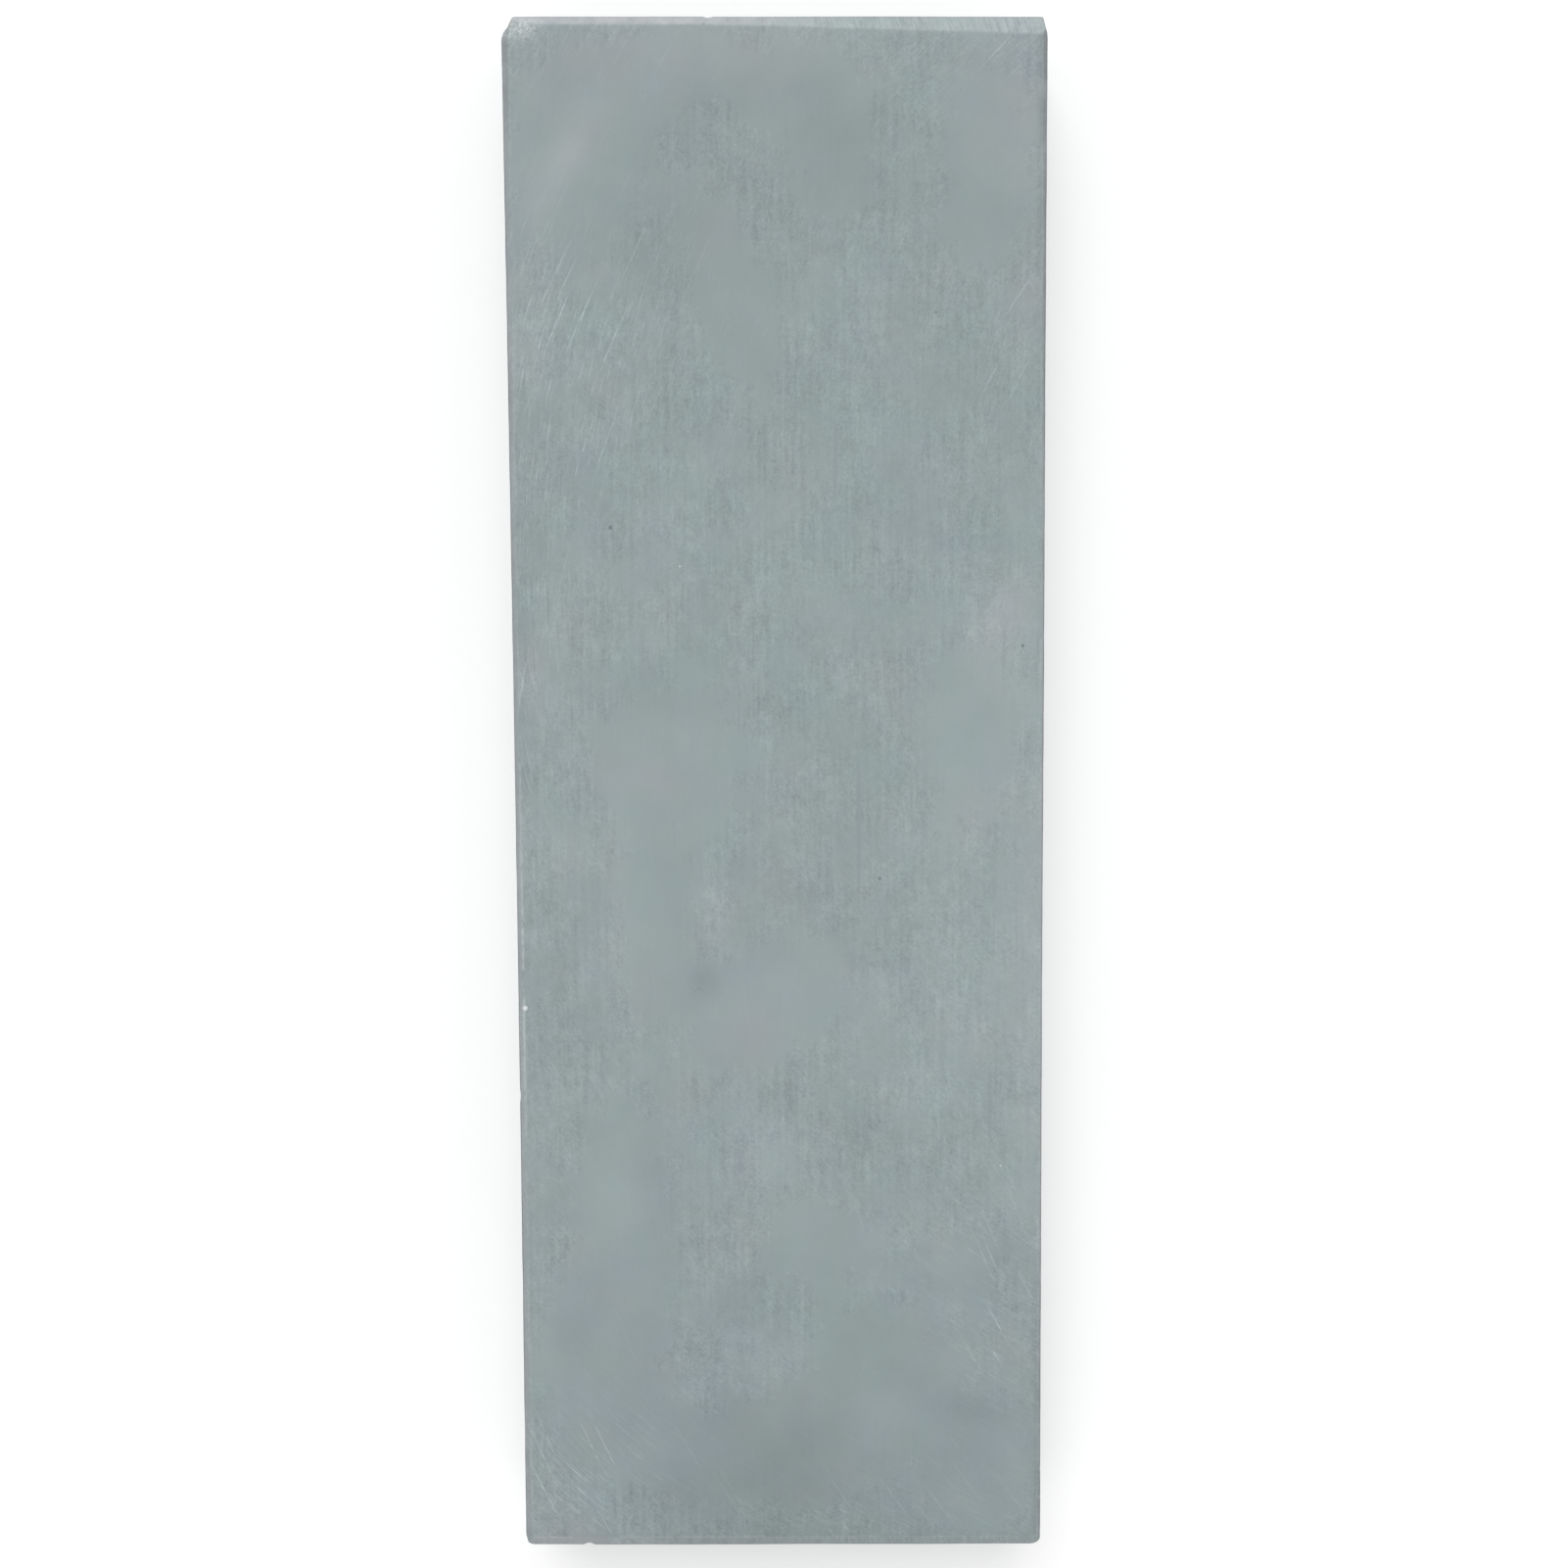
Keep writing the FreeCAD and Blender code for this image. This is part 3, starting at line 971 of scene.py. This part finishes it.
def stone_material():
    """Lapped slate: cloudy grey-green, with fine grain, lengthwise streaks and honing scratches."""
    g = Graph("slate")
    place = g.place()
    x, y, z = g.split(place)
    sawn = g.mark("sawn")
    honed = g.math("SUBTRACT", 1.0, sawn)
    texture, rubbed = fine_texture(g, place)
    scratches = g.times(honing_scratches(g, place), honed)
    sawing = g.times(saw_marks(g, place), sawn)

    tone = weighted(g, (
        (0.16, g.noise(place, 22.0, detail=3.0)),
        (0.14, g.noise(place, 6.0, detail=2.0)),
        # pale patches of the face, with painted shade that darkens its near end
        (0.08, g.times(g.mark("pale"), honed)),
        (1.0, g.times(texture, honed)),
        (0.24, scratches),
        (1.0, sawing),
        (SAWN_SHADE - 1, sawn),
    ))
    colour = bare_stone(g, place, tone)
    colour = specks(g, place, colour)
    slanted = g.join(g.add(x, g.times(y, 0.25)), y, z)
    ground = g.noise(g.stretched(slanted, (0.24, 5.0, 5.0)), 1.0, detail=2.0)
    colour = ground_dust(g, place, colour, ground)
    g.put(g.shader.inputs["Base Color"], worn_and_shaded_edges(g, place, colour))

    rough = weighted(g, ((0.10, scratches), (0.20, texture), (0.08, rubbed), (0.17, sawn), (0.20, sawing)))
    g.put(g.shader.inputs["Roughness"], g.add(rough, ROUGHNESS))
    g.shader.inputs["Specular IOR Level"].default_value = SHEEN

    height = weighted(g, (
        (1.0, g.times(texture, honed)),
        (-0.3, scratches),
        (0.6, g.times(ground, g.mark("bevel"))),
        (3.0, sawing),
    ))
    bump = g.node("ShaderNodeBump", {"Strength": 1.0, "Distance": BUMP_HEIGHT * MM, "Height": height})
    g.put(g.shader.inputs["Normal"], bump)
    return g.material


# ---------------------------------------------------------------- floor, light and camera

FLOOR_SIZE = 16.0                      # metres
FLOOR_GREY = (0.70, 0.70, 0.70, 1)
FLOOR_GLOW = 0.31                      # the floor shines a little of its own, and stays pale
KEY_SPREAD = 36                        # degrees
KEY_STRENGTH = 1.46
KEY_TURN = (-38, 0, 7)                 # degrees
HORIZON = 1.02                         # strength of the surroundings, low down and high up
ZENITH = 0.70
ZENITH_FROM = 0.6                      # height on a unit dome where the full zenith strength begins
SENSOR = 36                            # millimetres
LENS = 52
CAMERA_PLACE = (0.00114, 0.03003, 0.31290) # metres
CAMERA_TURN = (-5.324, 0.057, -0.314)  # degrees


def floor():
    """A plain pale floor."""
    half = FLOOR_SIZE / 2
    corners = [(x * half, y * half, 0) for x, y in ((-1, -1), (1, -1), (1, 1), (-1, 1))]
    mesh = bpy.data.meshes.new("floor")
    mesh.from_pydata(corners, [], [(0, 1, 2, 3)])
    plane = bpy.data.objects.new("floor", mesh)
    bpy.context.scene.collection.objects.link(plane)
    g = Graph("pale_floor")
    g.shader.inputs["Base Color"].default_value = FLOOR_GREY
    g.shader.inputs["Roughness"].default_value = 0.9
    g.shader.inputs["Specular IOR Level"].default_value = 0.1
    g.shader.inputs["Emission Color"].default_value = (1, 1, 1, 1)
    g.shader.inputs["Emission Strength"].default_value = FLOOR_GLOW
    mesh.materials.append(g.material)


def key_light():
    """A broad soft light, high beyond the far end and a little to the left."""
    data = bpy.data.lights.new("key", "SUN")
    data.angle = math.radians(KEY_SPREAD)
    data.energy = KEY_STRENGTH
    lamp = bpy.data.objects.new("key", data)
    lamp.rotation_euler = [math.radians(angle) for angle in KEY_TURN]
    bpy.context.scene.collection.objects.link(lamp)


def dome():
    """White surroundings that are brightest towards the horizon."""
    world = bpy.data.worlds.new("dome")
    world.use_nodes = True
    tree = world.node_tree
    way = tree.nodes.new("ShaderNodeTexCoord")
    parts = tree.nodes.new("ShaderNodeSeparateXYZ")
    strength = tree.nodes.new("ShaderNodeMapRange")
    strength.interpolation_type = "SMOOTHSTEP"
    strength.inputs["From Max"].default_value = ZENITH_FROM
    strength.inputs["To Min"].default_value = HORIZON
    strength.inputs["To Max"].default_value = ZENITH
    tree.links.new(way.outputs["Generated"], parts.inputs[0])
    tree.links.new(parts.outputs["Z"], strength.inputs["Value"])
    tree.links.new(strength.outputs[0], tree.nodes["Background"].inputs["Strength"])
    tree.nodes["Background"].inputs["Color"].default_value = (1, 1, 1, 1)
    bpy.context.scene.world = world


def studio():
    """Soft white surroundings and one key light."""
    dome()
    key_light()
    bpy.context.scene.view_settings.view_transform = "Standard"


def camera():
    """High above the stone, a little beyond its middle, which it looks at."""
    data = bpy.data.cameras.new("camera")
    data.sensor_width = SENSOR
    data.lens = LENS
    eye = bpy.data.objects.new("camera", data)
    eye.location = CAMERA_PLACE
    eye.rotation_euler = [math.radians(angle) for angle in CAMERA_TURN]
    bpy.context.scene.collection.objects.link(eye)
    bpy.context.scene.camera = eye


stone = whetstone()
stone.data.materials.append(stone_material())
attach(stone, "root")
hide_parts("stone")
floor()
studio()
camera()
